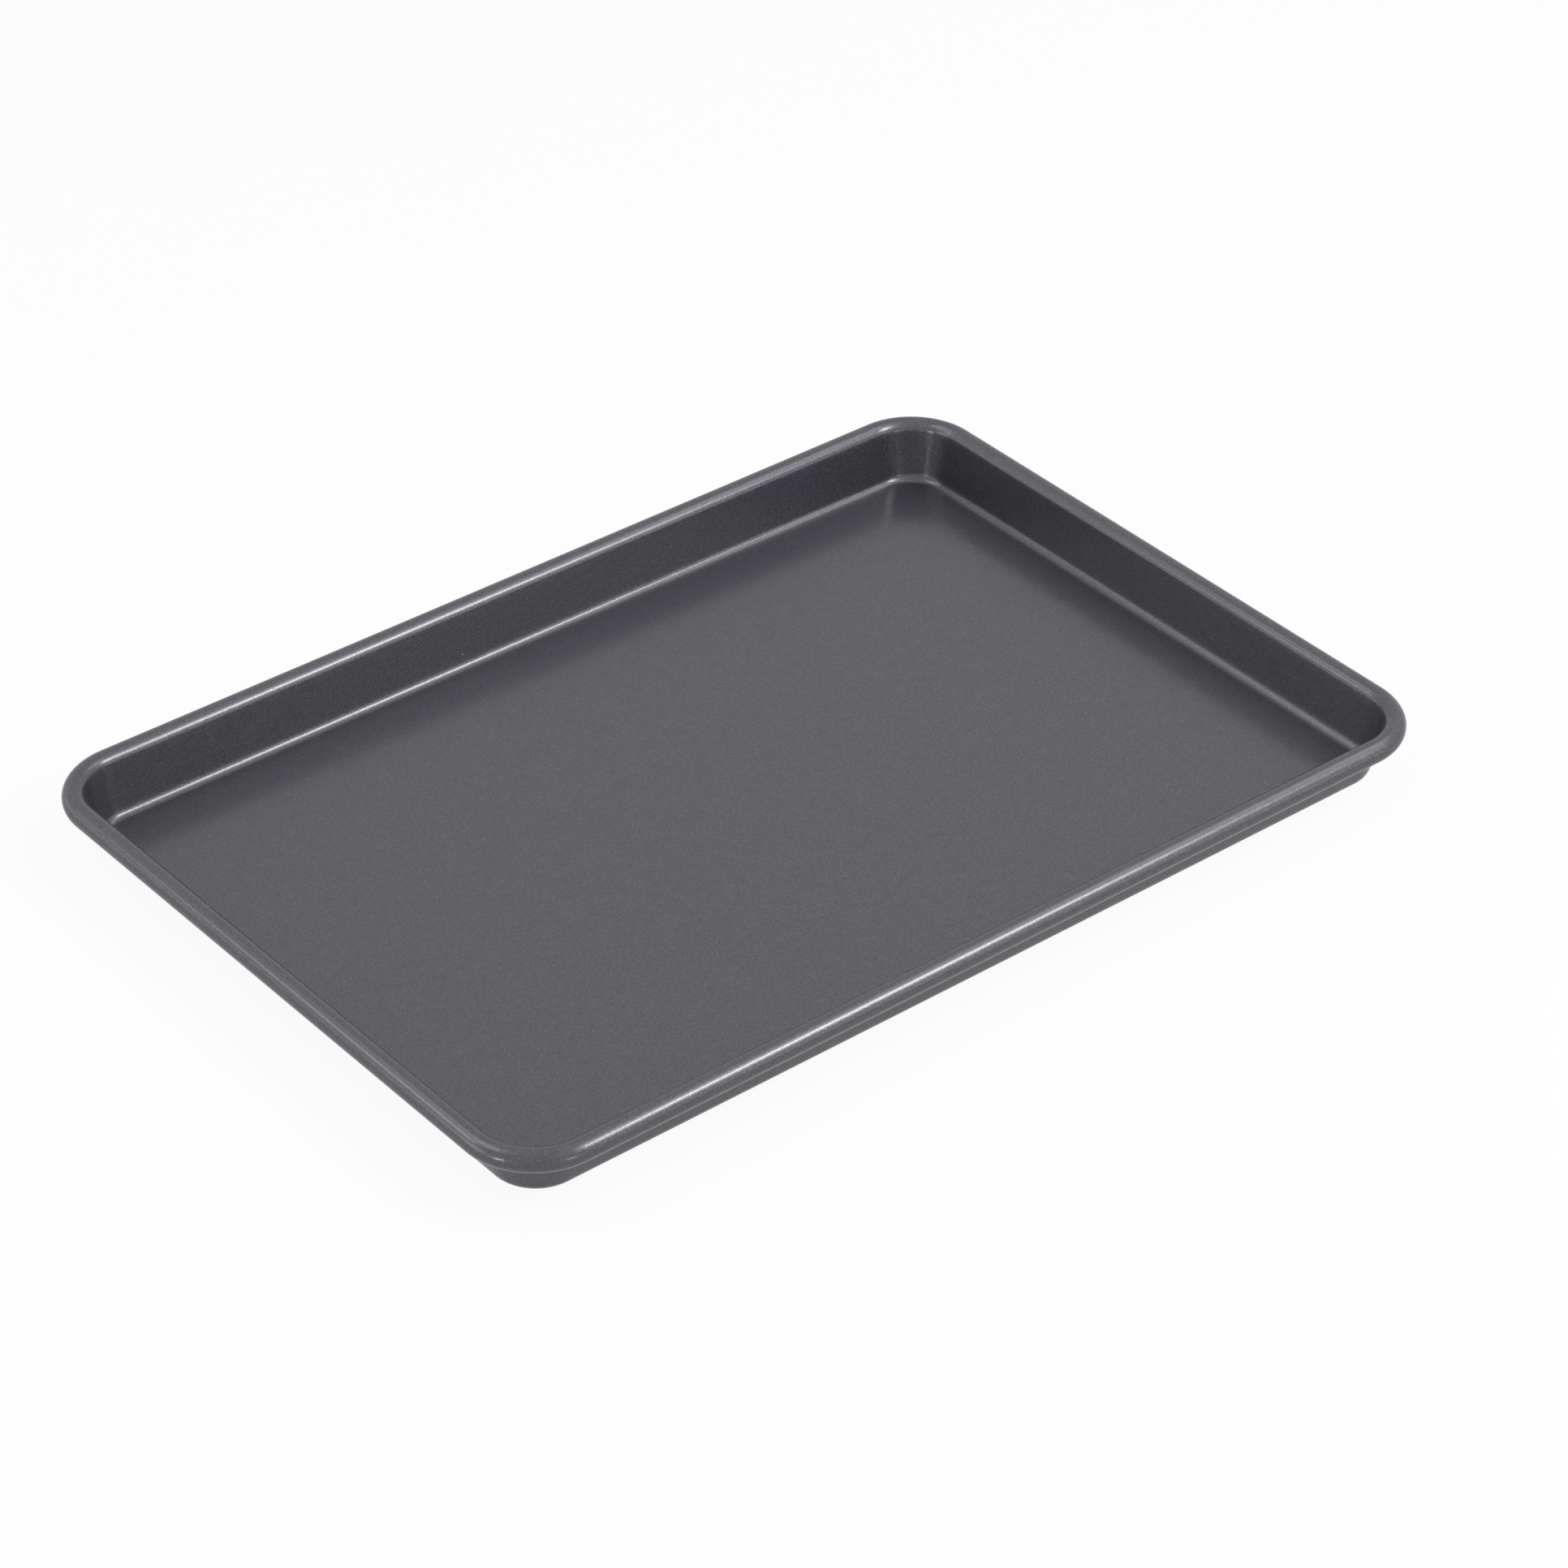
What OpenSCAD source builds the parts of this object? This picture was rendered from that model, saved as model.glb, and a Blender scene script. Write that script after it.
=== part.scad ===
// Jelly roll pan: one pressed and rolled steel sheet with a wire inside its rim.
// Lengths are millimetres and angles are degrees.
// The origin is the middle of the underside, X runs along the pan and Z points up.

/* [Pan] */
// Length over the rolled rim
pan_l = 414; // [320:1:460]
// Width over the rolled rim
pan_w = 287.5; // [200:0.5:330]
// Height from the table to the top of the rim
pan_h = 24.5; // [18:0.5:36]
// Lean of the side walls away from upright
wall_draft = 11.5; // [6:0.5:18]
// Outside radius of the bend between a wall and the floor
base_bend_r = 3.8; // [2.4:0.1:6]
// Plan radius of the corners, measured to the middle of the rim wire
corner_r = 24.6; // [22:0.1:50]

/* [Sheet] */
// Thickness of the pressed steel sheet
sheet_t = 0.8; // [0.5:0.05:1.2]

/* [Rolled rim] */
// Diameter of the wire inside the rim
wire_d = 6.4; // [4:0.1:8]
// Space between the wire and the sheet rolled round it
wire_clearance = 0.3; // [0.1:0.05:0.5]
// Space between the cut edge of the roll and the wall that it curls back to
curl_gap = 0.3; // [0.15:0.05:1]
// Space between the two butted ends of the wire
wire_end_gap = 1; // [0.5:0.1:4]

/* [Hidden] */
$fn = 96;

// Rolled rim: its bore holds the wire, and its outside is one sheet further out
bore_r = wire_d / 2 + wire_clearance;
roll_r = bore_r + sheet_t;

// Inner radius of the bend between wall and floor
bend_in_r = base_bend_r - sheet_t;

// The wall stands on the bend and touches the roll: seen along the wall, the roll's
// centre lies this far outside the bend's centre and this far up the wall
roll_out = bend_in_r + roll_r;
wall_run = (pan_h - roll_r - base_bend_r + roll_out * sin(wall_draft)) / cos(wall_draft);

// Section coordinates: x is measured outwards from the corner's centre, y is height
bend_x = corner_r - roll_out * cos(wall_draft) - wall_run * sin(wall_draft);

// Centres of the four corners
corner_x = pan_l / 2 - roll_r - corner_r;
corner_y = pan_w / 2 - roll_r - corner_r;

// Turn from the top of the wall to the cut edge of the roll
curl_turn = acos((bore_r - curl_gap) / roll_r);

// Where straight sheet runs into bent sheet the two lap by this length, along a slanted
// cut, and the straight sheet bites this far past the tangent, so that they fuse cleanly
lap = 0.13;
bite = 0.001;

// Ring of sheet with the given outer and inner radius
module ring(outer_r, inner_r) {
    difference() {
        circle(outer_r);
        circle(inner_r);
    }
}

// Places a section at the bend's centre, with y along the wall
module along_wall() {
    translate([bend_x, base_bend_r])
        rotate(-wall_draft)
            children();
}

// Places a section at the roll's centre, with y along the wall
module at_roll() {
    along_wall()
        translate([roll_out, wall_run])
            children();
}

// Sheet bent from the flat floor up to the wall
module bend_section() {
    reach = 2 * base_bend_r;
    slope = lap / sheet_t;
    translate([bend_x, base_bend_r])
        difference() {
            ring(base_bend_r, bend_in_r);
            translate([-reach, -reach])
                square([reach, 2 * reach]);
            rotate(-wall_draft)
                polygon([
                    [-reach, reach],
                    [-reach, -slope * bend_in_r],
                    [0, -slope * bend_in_r],
                    [reach, slope * (reach - bend_in_r)],
                    [reach, reach]
                ]);
        }
}

// Straight wall between the bend and the roll
module wall_section() {
    along_wall()
        polygon([
            [bend_in_r - bite, -lap],
            [base_bend_r - bite, 0],
            [base_bend_r + bite, wall_run + lap],
            [bend_in_r + bite, wall_run]
        ]);
}

// Roll over the wire, open only between its cut edge and the wall
module roll_section() {
    reach = 2 * roll_r;
    slope = lap / sheet_t;
    at_roll()
        difference() {
            ring(roll_r, bore_r);
            polygon([
                [0, 0],
                [-bore_r, 0],
                [-reach, -slope * (reach - bore_r)],
                for (a = [curl_turn / 2, curl_turn]) -reach * [cos(a), sin(a)]
            ]);
        }
}

// Section through the sheet, from the corner's centre out to the rim
module sheet_section() {
    square([bend_x, sheet_t]);
    bend_section();
    wall_section();
    roll_section();
}

// Section through the wire
module wire_section() {
    at_roll()
        circle(wire_d / 2);
}

// Carries a section round the quarter turn of one corner
module corner_sweep(x, y, turn) {
    translate([x, y, 0])
        rotate([0, 0, turn])
            rotate_extrude(angle = 90)
                children();
}

// Carries a section straight along one side, outwards of the line between two corners
module side_sweep(x, y, turn, run) {
    translate([x, y, 0])
        rotate([0, 0, turn])
            rotate([90, 0, 0])
                linear_extrude(height = run, center = true)
                    children();
}

// Carries a section round all four corners
module four_corners() {
    corner_sweep(corner_x, corner_y, 0) children();
    corner_sweep(-corner_x, corner_y, 90) children();
    corner_sweep(-corner_x, -corner_y, 180) children();
    corner_sweep(corner_x, -corner_y, 270) children();
}

// Pressed sheet: floor, walls and rolled rim in one piece
module pan_shell() {
    color("#5c5c61")
        union() {
            translate([-corner_x, -corner_y, 0])
                cube([2 * corner_x, 2 * corner_y, sheet_t]);
            side_sweep(corner_x, 0, 0, 2 * corner_y) sheet_section();
            side_sweep(0, corner_y, 90, 2 * corner_x) sheet_section();
            side_sweep(-corner_x, 0, 180, 2 * corner_y) sheet_section();
            side_sweep(0, -corner_y, 270, 2 * corner_x) sheet_section();
            four_corners() sheet_section();
        }
}

// Wire bent to the rim's outline, its ends butted in the middle of the far long side
module rim_wire() {
    far_run = corner_x - wire_end_gap / 2;
    far_mid = (corner_x + wire_end_gap / 2) / 2;
    color("#b9bcc0")
        union() {
            side_sweep(corner_x, 0, 0, 2 * corner_y) wire_section();
            side_sweep(far_mid, corner_y, 90, far_run) wire_section();
            side_sweep(-far_mid, corner_y, 90, far_run) wire_section();
            side_sweep(-corner_x, 0, 180, 2 * corner_y) wire_section();
            side_sweep(0, -corner_y, 270, 2 * corner_x) wire_section();
            four_corners() wire_section();
        }
}

pan_shell();
rim_wire();
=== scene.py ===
"""Jelly roll pan: a pressed steel tray with a dark flaked non-stick coating and a rolled, wired rim."""
import math

import bpy
import numpy as np
from mathutils import Matrix, Vector


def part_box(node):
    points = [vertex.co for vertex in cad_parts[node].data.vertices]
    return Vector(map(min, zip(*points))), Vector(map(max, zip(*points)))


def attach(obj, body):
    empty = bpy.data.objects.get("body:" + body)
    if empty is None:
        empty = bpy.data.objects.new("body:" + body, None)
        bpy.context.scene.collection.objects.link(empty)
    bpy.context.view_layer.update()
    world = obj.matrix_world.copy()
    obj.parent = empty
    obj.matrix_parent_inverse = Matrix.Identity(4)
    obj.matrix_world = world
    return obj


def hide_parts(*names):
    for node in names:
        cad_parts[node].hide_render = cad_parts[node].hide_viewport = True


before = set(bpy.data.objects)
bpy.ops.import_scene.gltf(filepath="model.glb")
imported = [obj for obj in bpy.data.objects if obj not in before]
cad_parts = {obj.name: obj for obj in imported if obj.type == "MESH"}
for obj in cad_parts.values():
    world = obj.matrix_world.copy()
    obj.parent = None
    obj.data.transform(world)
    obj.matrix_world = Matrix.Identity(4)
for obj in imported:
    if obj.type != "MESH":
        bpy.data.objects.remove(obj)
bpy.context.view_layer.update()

MM = 0.001

# Pan, from the frame
shell_low, shell_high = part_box("pan_shell")
wire_low, wire_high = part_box("rim_wire")
PAN_L = shell_high[0] - shell_low[0]
PAN_W = shell_high[1] - shell_low[1]
PAN_H = shell_high[2] - shell_low[2]
WIRE_R = (wire_high[2] - wire_low[2]) / 2

# Pan, sizes that the frame doesn't give
SHEET = 0.8 * MM
WIRE_CLEARANCE = 0.3 * MM
CURL_GAP = 0.3 * MM
CORNER_R = 24.6 * MM
WALL_DRAFT = math.radians(11.5)
EDGE_R = 0.25 * MM

# Bend between floor and wall: evenly curved in its core, dying away over a short length at each end
BEND_CORE_R = 3.0 * MM
BEND_FADE_WALL = 0.6 * MM
BEND_FADE_FLOOR = 1.2 * MM
FADES_TO_STRAIGHT = 7

# Wall just under the roll: leans out more, by an angle that dies away over a short length
ROLL_LEAN = math.radians(8)
ROLL_FADE = 0.8 * MM

BORE_R = WIRE_R + WIRE_CLEARANCE
ROLL_R = BORE_R + SHEET
ROLL_Z = PAN_H - ROLL_R
CORNER_X = PAN_L / 2 - ROLL_R - CORNER_R
CORNER_Y = PAN_W / 2 - ROLL_R - CORNER_R

# How finely the sheet is divided: round the pan, over its section, and across its floor
CORNER_STEPS = 28
LONG_STEPS = 48
SHORT_STEPS = 32
FOLLOW_POINTS = 6001
BEND_TRIES = 4
FADES_UNDER_ROLL = (0, 0.25, 0.5, 0.8, 1.2, 1.7, 2.3, 3.0, 4.0, 5.5)
WALL_POINTS = 7
BEND_START_POINTS = 12
BEND_CORE_POINTS = 26
BEND_END_POINTS = 16
ROLL_POINTS = 80
FLOOR_RINGS = (0.02, 0.2, 0.4, 0.6, 0.8, 0.92, 0.98, 0.995)

# Finishes: tones where white is 1; a painted glint's reach is a share of its cell
COATING_GREY = (0.0705, 0.0687, 0.0826)
COAT_LEAST = 0.66
COAT_SPREAD = 0.28
PAINTED_GLINT_TONE = 2.5
GLINT_REACH = 0.35
WIRE_GREY = (0.52, 0.53, 0.55)
CLOUD_DETAIL = 3.0

# Photograph: its size and focal length in pixels, and the camera that took it
PHOTO_SIZE = 1932
PHOTO_FOCUS = 6275.0
SENSOR_WIDTH = 36.0
VIEW_DEPTH = 50
CAMERA_AZIMUTH = math.radians(-39.43)
CAMERA_ELEVATION = math.radians(35.25)
CAMERA_ROLL = math.radians(0.336)
CAMERA_DISTANCE = 1837.5 * MM
CAMERA_TARGET = Vector((19.2 * MM, -0.65 * MM, 0))

# Studio
FLOOR_HALF = 6.0
FLOOR_LEVEL = -0.1 * MM
FLOOR_WHITE = 0.93
FILL_LEVEL = 0.35
LAMP_DISTANCE = 1.6

# Lamps: azimuth, elevation, width, height, turn, brightness
LAMPS = {
    "key_softbox": (37.5, 43.5, 0.42, 0.42, -15, 18.6),
    "key_low_softbox": (31.5, 29.5, 0.42, 0.40, 0, 2.3),
    "key_top_softbox": (47, 58.5, 0.45, 0.42, -15, 2.8),
    "front_low_panel": (31, 9, 0.6, 0.3, 0, 1.4),
    "right_softbox": (82, 50, 0.7, 0.5, 0, 2.0),
    "top_softbox": (105, 70, 0.7, 0.5, 0, 0.4),
    "left_softbox": (-130, 36, 0.5, 0.5, 0, 2.7),
    "left_top_softbox": (-135, 60, 1.0, 0.5, 0, 2.2),
    "left_back_panel": (-145, 10, 0.9, 0.4, 0, 0.8),
    "left_low_panel": (-110, 12, 0.7, 0.4, 0, 2.5),
    "left_small_panel": (-79, 5, 0.22, 0.24, 0, 13.0),
    "front_small_panel": (-2, 5, 0.28, 0.24, 0, 6.0),
}


# Path and section of the sheet


def rim_path(corner_steps, long_steps, short_steps):
    """Corner centres and outward directions once round the pan, anticlockwise from the +X end.

    Round a corner the centre stays still while the direction turns by 90 degrees.
    Along a side the direction stays still while the centre moves to the next corner.
    """
    corners = np.array(((1, 1), (-1, 1), (-1, -1), (1, -1))) * (CORNER_X, CORNER_Y)
    centres = []
    directions = []
    for quarter, corner in enumerate(corners):
        turn = quarter * math.pi / 2 + np.linspace(0, math.pi / 2, corner_steps + 1)
        round_corner = np.stack((np.cos(turn), np.sin(turn)), axis=1)
        ahead = corners[(quarter + 1) % 4]
        steps = short_steps if quarter % 2 else long_steps
        share = (np.arange(1, steps) / steps)[:, None]
        centres += [np.tile(corner, (len(turn), 1)), (1 - share) * corner + share * ahead]
        directions += [round_corner, np.tile(round_corner[-1], (steps - 1, 1))]
    return np.concatenate(centres), np.concatenate(directions)


def soft_hinge(s, fade):
    """Zero before s = 0 and s after it, with the corner between them rounded over the length fade."""
    return np.maximum(s, 0) + fade / 2 * np.exp(-np.abs(s) / fade)


def wall_face():
    """The sheet's inner face from the roll down the wall and through the bend onto the floor.

    It is followed by length. Its slope is the wall's; just under the roll it leans out more, by an
    amount that dies away with length; through the bend the slope falls evenly to level, with soft
    ends. Points are the running sums of the cosine and sine of the slope. The bend's middle is
    moved until the face ends at the floor's height. Returns distances outwards from the corner's
    centre, heights, and slopes, from the floor up.
    """
    wall_slope = math.pi / 2 - WALL_DRAFT
    lean_angle = math.pi - WALL_DRAFT - ROLL_LEAN
    start_x = CORNER_R + ROLL_R * math.cos(lean_angle)
    start_z = ROLL_Z + ROLL_R * math.sin(lean_angle)
    core = BEND_CORE_R * wall_slope
    wall_tail = core / 2 + FADES_TO_STRAIGHT * BEND_FADE_WALL
    floor_tail = core / 2 + FADES_TO_STRAIGHT * BEND_FADE_FLOOR

    def follow(bend_middle):
        length = np.linspace(0, bend_middle + floor_tail, FOLLOW_POINTS)
        past = length - bend_middle
        begun = soft_hinge(past + core / 2, BEND_FADE_WALL)
        turned = (begun - soft_hinge(past - core / 2, BEND_FADE_FLOOR)) / core
        slope = wall_slope * (1 - turned) - ROLL_LEAN * np.exp(-length / ROLL_FADE)
        mid_slope = (slope[1:] + slope[:-1]) / 2
        step = np.diff(length)
        x = start_x - np.concatenate(((0,), np.cumsum(np.cos(mid_slope) * step)))
        z = start_z - np.concatenate(((0,), np.cumsum(np.sin(mid_slope) * step)))
        return length, x, z, slope

    middle = start_z - SHEET
    for _ in range(BEND_TRIES):
        height_left = follow(middle)[2][-1] - SHEET
        middle += height_left / math.sin(wall_slope)
    length, x, z, slope = follow(middle)
    near_roll = ROLL_FADE * np.array(FADES_UNDER_ROLL)
    bend_start, bend_end = middle - wall_tail, middle + floor_tail
    core_start, core_end = middle - core / 2, middle + core / 2
    at = np.concatenate((near_roll,
                         np.linspace(near_roll[-1], bend_start, WALL_POINTS)[1:-1],
                         np.linspace(bend_start, core_start, BEND_START_POINTS)[:-1],
                         np.linspace(core_start, core_end, BEND_CORE_POINTS),
                         np.linspace(core_end, bend_end, BEND_END_POINTS)[1:]))[::-1]
    return np.interp(at, length, x), np.interp(at, length, z), np.interp(at, length, slope)


def sheet_section():
    """Outline of the bent sheet: floor's edge, bend, wall, roll, cut edge, and back underneath.

    Each point is (distance outwards from the corner's centre, height). The underside and the bore
    are the inner face moved by the sheet's thickness, square to it.
    """
    wall_x, wall_z, wall_slope = wall_face()
    curl_turn = math.acos((BORE_R - CURL_GAP) / ROLL_R)
    roll_start = wall_slope[-1] + math.pi / 2
    roll_end = curl_turn - math.pi - WALL_DRAFT
    turn = np.linspace(roll_start, roll_end + EDGE_R / ROLL_R, ROLL_POINTS)[1:]
    x = np.concatenate((wall_x, CORNER_R + ROLL_R * np.cos(turn)))
    z = np.concatenate((wall_z, ROLL_Z + ROLL_R * np.sin(turn)))
    slope = np.concatenate((wall_slope, turn - math.pi / 2))
    face = np.stack((x, z), axis=1)
    back = np.stack((x + SHEET * np.sin(slope), z - SHEET * np.cos(slope)), axis=1)
    edge = np.array((BORE_R + SHEET - EDGE_R, BORE_R + EDGE_R))
    cut = np.stack((CORNER_R + edge * math.cos(roll_end), ROLL_Z + edge * math.sin(roll_end)), axis=1)
    return np.concatenate((face, cut, back[::-1]))


# Mesh


def raised(flat, height):
    """Rings of level points with their heights added: one height for each ring, or one for all."""
    heights = np.broadcast_to(np.reshape(height, (-1, 1, 1)), flat.shape[:2] + (1,))
    return np.concatenate((flat, heights), axis=2)


def grid_faces(rings, around):
    """Quads between neighbouring rings, and a fan from each end ring to its own middle point."""
    here = np.arange(around)
    after = (here + 1) % around
    row = np.arange(rings - 1)[:, None] * around
    quads = np.stack((row + here, row + after, row + around + after, row + around + here), axis=-1)
    last_row = (rings - 1) * around
    first_middle = np.full(around, rings * around)
    first_fan = np.stack((first_middle, after, here), axis=1)
    last_fan = np.stack((first_middle + 1, last_row + here, last_row + after), axis=1)
    return quads.reshape(-1, 4).tolist() + first_fan.tolist() + last_fan.tolist()


def piece_from_grid(name, grid, material):
    """Object from a grid of closed rings; each end is closed by a fan to its middle point."""
    corners = np.concatenate((grid.reshape(-1, 3), [grid[0].mean(axis=0), grid[-1].mean(axis=0)]))
    mesh = bpy.data.meshes.new(name)
    mesh.from_pydata(corners.tolist(), [], grid_faces(*grid.shape[:2]))
    mesh.polygons.foreach_set("use_smooth", np.ones(len(mesh.polygons), dtype=bool))
    mesh.materials.append(material)
    mesh.update()
    piece = bpy.data.objects.new(name, mesh)
    bpy.context.scene.collection.objects.link(piece)
    return piece


def pan_surface(material):
    """The whole sheet as one closed surface.

    The section is carried round the pan: point = corner centre + direction * distance, at the
    section's height. Inside the bends the floor's two faces are the same outline shrunk towards
    the middle of the pan.
    """
    centres, directions = rim_path(CORNER_STEPS, LONG_STEPS, SHORT_STEPS)
    section = sheet_section()
    swept = raised(centres[None] + directions[None] * section[:, 0, None, None], section[:, 1])
    edge = centres + directions * section[0, 0]
    floor = np.array(FLOOR_RINGS)[:, None, None] * edge[None]
    grid = np.concatenate((raised(floor, SHEET), swept, raised(floor[::-1], 0.0)))
    return piece_from_grid("coated_pan", grid, material)


# Nodes


def feed(tree, value, socket):
    """Links an output to a socket, or sets the socket to a number or a colour."""
    if isinstance(value, bpy.types.NodeSocket):
        tree.links.new(value, socket)
    else:
        socket.default_value = value


def math_node(tree, kind, *values):
    """Math node on numbers or outputs; returns its output."""
    node = tree.nodes.new("ShaderNodeMath")
    node.operation = kind
    for value, socket in zip(values, node.inputs):
        feed(tree, value, socket)
    return node.outputs["Value"]


def vector_node(tree, kind, *vectors, scale=None):
    """Vector Math node on vectors or outputs, with a factor where it scales; returns its output."""
    node = tree.nodes.new("ShaderNodeVectorMath")
    node.operation = kind
    for vector, socket in zip(vectors, node.inputs):
        feed(tree, vector, socket)
    if scale is not None:
        feed(tree, scale, node.inputs["Scale"])
    return node.outputs["Vector"]


def new_group(name, inputs, outputs):
    """Node group with number inputs, and outputs of the kinds given; returns it and both ends."""
    group = bpy.data.node_groups.new(name, "ShaderNodeTree")
    for socket in inputs:
        group.interface.new_socket(name=socket, in_out="INPUT", socket_type="NodeSocketFloat")
    for socket, kind in outputs.items():
        group.interface.new_socket(name=socket, in_out="OUTPUT", socket_type=kind)
    given = group.nodes.new("NodeGroupInput").outputs
    result = group.nodes.new("NodeGroupOutput").inputs
    return group, given, result


def cell_pattern(tree, cells_per_metre):
    """Cells on Object coordinates: the pattern's outputs, and its random colour in three numbers."""
    place = tree.nodes.new("ShaderNodeTexCoord")
    cells = tree.nodes.new("ShaderNodeTexVoronoi")
    tree.links.new(place.outputs["Object"], cells.inputs["Vector"])
    tree.links.new(cells_per_metre, cells.inputs["Scale"])
    parts = tree.nodes.new("ShaderNodeSeparateColor")
    tree.links.new(cells.outputs["Color"], parts.inputs["Color"])
    return cells.outputs, parts.outputs


# Effects


def flake_group():
    """Metal flakes in a coating: each cell of a fine pattern is one flake.

    Tone is the flake's brightness, mostly Dull with a few near Bright (a random number cubed).
    Gloss goes evenly from 0 to 1 from flake to flake. Normal leans each flake by a small angle:
    the surface's normal plus Tilt times a random vector, brought back to unit length.
    """
    group, given, result = new_group(
        "metal_flake", ("Flakes per metre", "Dull", "Bright", "Tilt"),
        {"Tone": "NodeSocketFloat", "Gloss": "NodeSocketFloat", "Normal": "NodeSocketVector"})
    link = group.links.new
    cells, parts = cell_pattern(group, given["Flakes per metre"])
    cubed = math_node(group, "POWER", parts["Green"], 3.0)
    span = math_node(group, "SUBTRACT", given["Bright"], given["Dull"])
    link(math_node(group, "MULTIPLY_ADD", cubed, span, given["Dull"]), result["Tone"])
    link(parts["Red"], result["Gloss"])
    centred = vector_node(group, "SUBTRACT", cells["Color"], (0.5, 0.5, 0.5))
    tilt = vector_node(group, "SCALE", centred, scale=given["Tilt"])
    surface = group.nodes.new("ShaderNodeNewGeometry")
    leaning = vector_node(group, "ADD", surface.outputs["Normal"], tilt)
    link(vector_node(group, "NORMALIZE", leaning), result["Normal"])
    return group


def cloud_group():
    """Soft unevenness over a surface: a factor that wanders round 1, in patches, by up to Depth."""
    group, given, result = new_group(
        "soft_clouds", ("Patches per metre", "Depth"), {"Factor": "NodeSocketFloat"})
    link = group.links.new
    place = group.nodes.new("ShaderNodeTexCoord")
    noise = group.nodes.new("ShaderNodeTexNoise")
    noise.inputs["Detail"].default_value = CLOUD_DETAIL
    link(place.outputs["Object"], noise.inputs["Vector"])
    link(given["Patches per metre"], noise.inputs["Scale"])
    centred = math_node(group, "SUBTRACT", noise.outputs["Fac"], 0.5)
    link(math_node(group, "MULTIPLY_ADD", centred, given["Depth"], 1.0), result["Factor"])
    return group


def painted_glint_group():
    """Painted glints, rare bright specks in the colour for flakes that catch the light: a small Share
    of the cells, and only near the cell's middle, gives 1.
    """
    group, given, result = new_group(
        "rare_painted_glints", ("Cells per metre", "Share"), {"Glint": "NodeSocketFloat"})
    cells, parts = cell_pattern(group, given["Cells per metre"])
    chosen = math_node(group, "LESS_THAN", parts["Blue"], given["Share"])
    middle = math_node(group, "LESS_THAN", cells["Distance"], GLINT_REACH)
    group.links.new(math_node(group, "MULTIPLY", chosen, middle), result["Glint"])
    return group


# Materials


def new_material(name):
    """Node material with a Principled shader; returns it, its tree and the shader's inputs."""
    material = bpy.data.materials.new(name)
    material.use_nodes = True
    tree = material.node_tree
    return material, tree, tree.nodes["Principled BSDF"].inputs


def placed(tree, group, **values):
    """Places a group in a material with its own values; an underscore in a name stands for a space."""
    node = tree.nodes.new("ShaderNodeGroup")
    node.node_tree = group
    for name, value in values.items():
        node.inputs[name.replace("_", " ")].default_value = value
    return node.outputs


def coating_material(flakes, clouds, glints):
    """Dark grey non-stick coating, a touch violet: fine metal flakes under a clear semi-gloss skin,
    with a few painted glints in its colour.
    """
    material, tree, finish = new_material("nonstick_coating")
    flake = placed(tree, flakes, Flakes_per_metre=3200.0, Dull=0.8, Bright=1.6, Tilt=0.14)
    cloud = placed(tree, clouds, Patches_per_metre=160.0, Depth=0.12)
    glint = placed(tree, glints, Cells_per_metre=800.0, Share=0.0006)
    lit = math_node(tree, "MULTIPLY", flake["Tone"], cloud["Factor"])
    # Painted glints: rare specks made brighter in the base colour, standing in for flakes that catch
    # the light
    lit = math_node(tree, "MULTIPLY_ADD", glint["Glint"], PAINTED_GLINT_TONE, lit)
    coat = math_node(tree, "MULTIPLY_ADD", flake["Gloss"], COAT_SPREAD, COAT_LEAST)
    feed(tree, vector_node(tree, "SCALE", COATING_GREY, scale=lit), finish["Base Color"])
    feed(tree, flake["Normal"], finish["Normal"])
    feed(tree, coat, finish["Coat Weight"])
    finish["Metallic"].default_value = 0.55
    finish["Roughness"].default_value = 0.4
    finish["Specular IOR Level"].default_value = 0.0
    finish["Specular Tint"].default_value = (0.3, 0.3, 0.3, 1)
    finish["Coat Roughness"].default_value = 0.2
    finish["Coat IOR"].default_value = 1.58
    return material


def wire_material(flakes, clouds):
    """Dull zinc-coated steel wire: fine crystals in soft grey patches."""
    material, tree, finish = new_material("zinc_coated_wire")
    flake = placed(tree, flakes, Flakes_per_metre=900.0, Dull=0.9, Bright=1.25, Tilt=0.05)
    cloud = placed(tree, clouds, Patches_per_metre=120.0, Depth=0.25)
    lit = math_node(tree, "MULTIPLY", flake["Tone"], cloud["Factor"])
    feed(tree, vector_node(tree, "SCALE", WIRE_GREY, scale=lit), finish["Base Color"])
    feed(tree, flake["Normal"], finish["Normal"])
    finish["Metallic"].default_value = 1.0
    finish["Roughness"].default_value = 0.42
    return material


# Studio


def background_rays(tree):
    """1 for rays that look at the background: straight from the camera, or by way of gloss or glass."""
    path = tree.nodes.new("ShaderNodeLightPath")
    seen = math_node(tree, "MAXIMUM", path.outputs["Is Camera Ray"], path.outputs["Is Glossy Ray"])
    return math_node(tree, "MAXIMUM", seen, path.outputs["Is Transmission Ray"])


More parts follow.
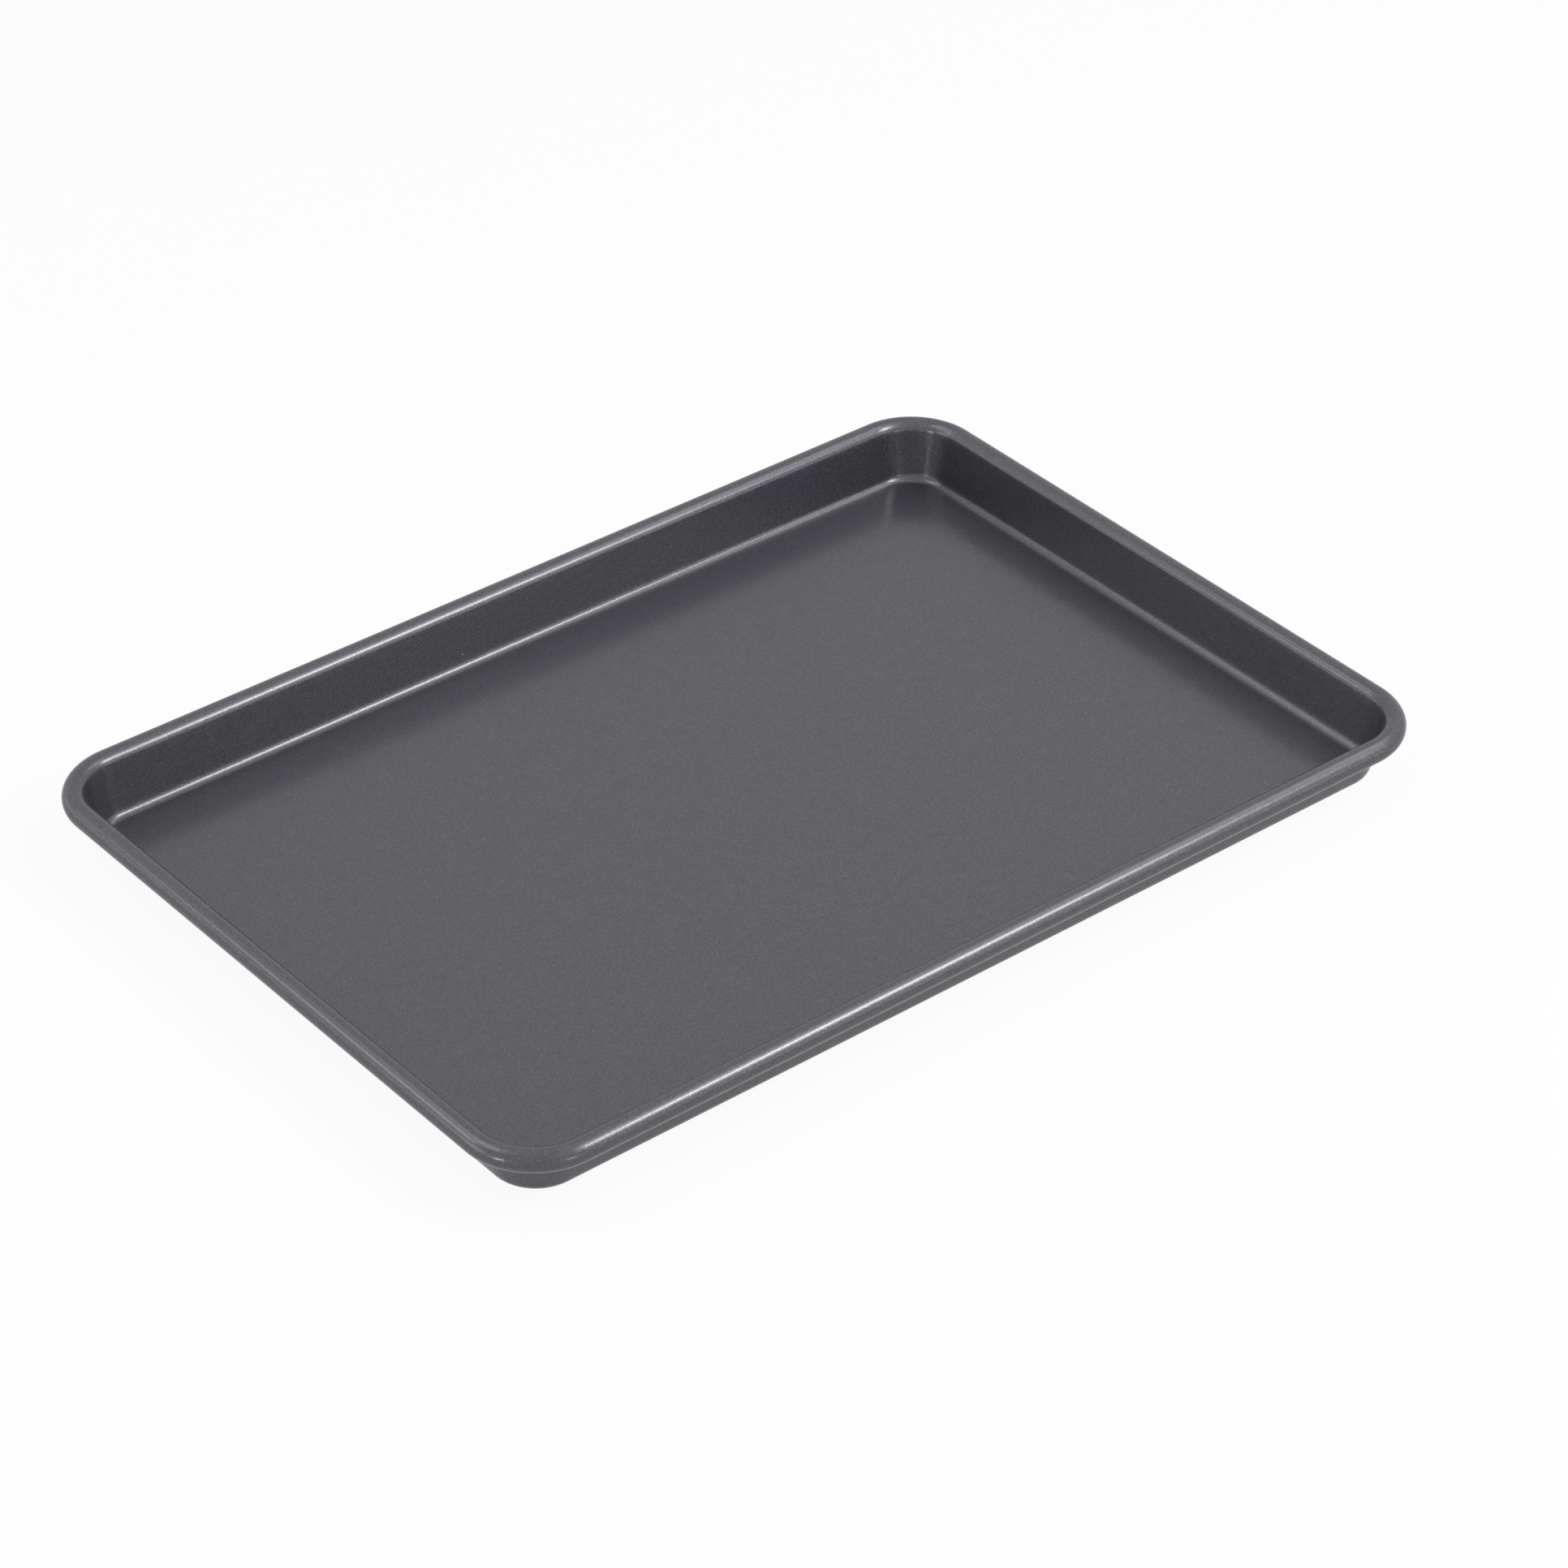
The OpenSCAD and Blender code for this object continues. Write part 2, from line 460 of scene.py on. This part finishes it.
def studio_floor():
    """Plain white floor under the pan, mostly white by itself so that the shadow on it stays faint.

    From below it is clear, so that the underside can be seen.
    """
    material, tree, finish = new_material("studio_floor")
    nodes, link = tree.nodes, tree.links.new
    finish["Base Color"].default_value = (0.86, 0.86, 0.86, 1)
    finish["Roughness"].default_value = 0.9
    finish["Specular IOR Level"].default_value = 0.1
    white = nodes.new("ShaderNodeEmission")
    pale = nodes.new("ShaderNodeMixShader")
    link(math_node(tree, "MULTIPLY", background_rays(tree), FLOOR_WHITE), pale.inputs["Fac"])
    link(nodes["Principled BSDF"].outputs["BSDF"], pale.inputs[1])
    link(white.outputs["Emission"], pale.inputs[2])
    clear = nodes.new("ShaderNodeBsdfTransparent")
    mix = nodes.new("ShaderNodeMixShader")
    side = nodes.new("ShaderNodeNewGeometry")
    link(side.outputs["Backfacing"], mix.inputs["Fac"])
    link(pale.outputs["Shader"], mix.inputs[1])
    link(clear.outputs["BSDF"], mix.inputs[2])
    link(mix.outputs["Shader"], nodes["Material Output"].inputs["Surface"])
    mesh = bpy.data.meshes.new("studio_floor")
    half, level = FLOOR_HALF, FLOOR_LEVEL
    corners = [(-half, -half, level), (half, -half, level), (half, half, level), (-half, half, level)]
    mesh.from_pydata(corners, [], [(0, 1, 2, 3)])
    mesh.materials.append(material)
    floor = bpy.data.objects.new("studio_floor", mesh)
    bpy.context.scene.collection.objects.link(floor)


def studio_world():
    """White surroundings where they are looked at, and a plain, lower level of fill light."""
    world = bpy.data.worlds.new("studio")
    bpy.context.scene.world = world
    world.use_nodes = True
    tree = world.node_tree
    nodes, link = tree.nodes, tree.links.new
    fill = nodes["Background"]
    fill.inputs["Color"].default_value = (1, 1, 1, 1)
    fill.inputs["Strength"].default_value = FILL_LEVEL
    white = nodes.new("ShaderNodeBackground")
    white.inputs["Color"].default_value = (1, 1, 1, 1)
    white.inputs["Strength"].default_value = 1.0
    mix = nodes.new("ShaderNodeMixShader")
    link(background_rays(tree), mix.inputs["Fac"])
    link(fill.outputs["Background"], mix.inputs[1])
    link(white.outputs["Background"], mix.inputs[2])
    link(mix.outputs["Shader"], nodes["World Output"].inputs["Surface"])


def compass(azimuth, elevation):
    """Unit vector towards an azimuth (0 in front, on -Y; 90 on +X) and an elevation, in radians."""
    level = math.cos(elevation)
    return Vector((math.sin(azimuth) * level, -math.cos(azimuth) * level, math.sin(elevation)))


def softbox(name, azimuth, elevation, width, height, turn, brightness):
    """Rectangular soft light that faces the pan, its angles in degrees.

    Turn is its turn about its own axis, and brightness its own radiance, where white is 1.
    """
    lamp = bpy.data.lights.new(name, "AREA")
    lamp.shape = "RECTANGLE"
    lamp.size = width
    lamp.size_y = height
    lamp.energy = brightness * math.pi * width * height
    holder = bpy.data.objects.new(name, lamp)
    towards = compass(math.radians(azimuth), math.radians(elevation))
    facing = towards.to_track_quat("Z", "Y").to_matrix().to_4x4()
    rolled = Matrix.Rotation(math.radians(turn), 4, "Z")
    holder.matrix_world = Matrix.Translation(towards * LAMP_DISTANCE) @ facing @ rolled
    holder.visible_camera = False
    bpy.context.scene.collection.objects.link(holder)


def studio_camera():
    """Camera at the photograph's place, with its focal length and its slight roll."""
    lens = bpy.data.cameras.new("photo_view")
    lens.sensor_width = SENSOR_WIDTH
    lens.lens = SENSOR_WIDTH * PHOTO_FOCUS / PHOTO_SIZE
    lens.clip_end = VIEW_DEPTH
    camera = bpy.data.objects.new("photo_view", lens)
    back = compass(CAMERA_AZIMUTH, CAMERA_ELEVATION)
    right = Vector((0, 0, 1)).cross(back).normalized()
    up = back.cross(right)
    rolled_right = right * math.cos(CAMERA_ROLL) + up * math.sin(CAMERA_ROLL)
    rolled_up = up * math.cos(CAMERA_ROLL) - right * math.sin(CAMERA_ROLL)
    turn = Matrix((rolled_right, rolled_up, back)).transposed().to_4x4()
    camera.matrix_world = Matrix.Translation(CAMERA_TARGET + back * CAMERA_DISTANCE) @ turn
    bpy.context.scene.collection.objects.link(camera)
    bpy.context.scene.camera = camera


studio_camera()
studio_world()
studio_floor()
for lamp_name, settings in LAMPS.items():
    softbox(lamp_name, *settings)
bpy.context.scene.view_settings.view_transform = "Standard"

flakes = flake_group()
clouds = cloud_group()
coated_pan = pan_surface(coating_material(flakes, clouds, painted_glint_group()))
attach(coated_pan, "root")
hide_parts("pan_shell")
rim_wire = bpy.data.objects["rim_wire"]
rim_wire.material_slots[0].material = wire_material(flakes, clouds)
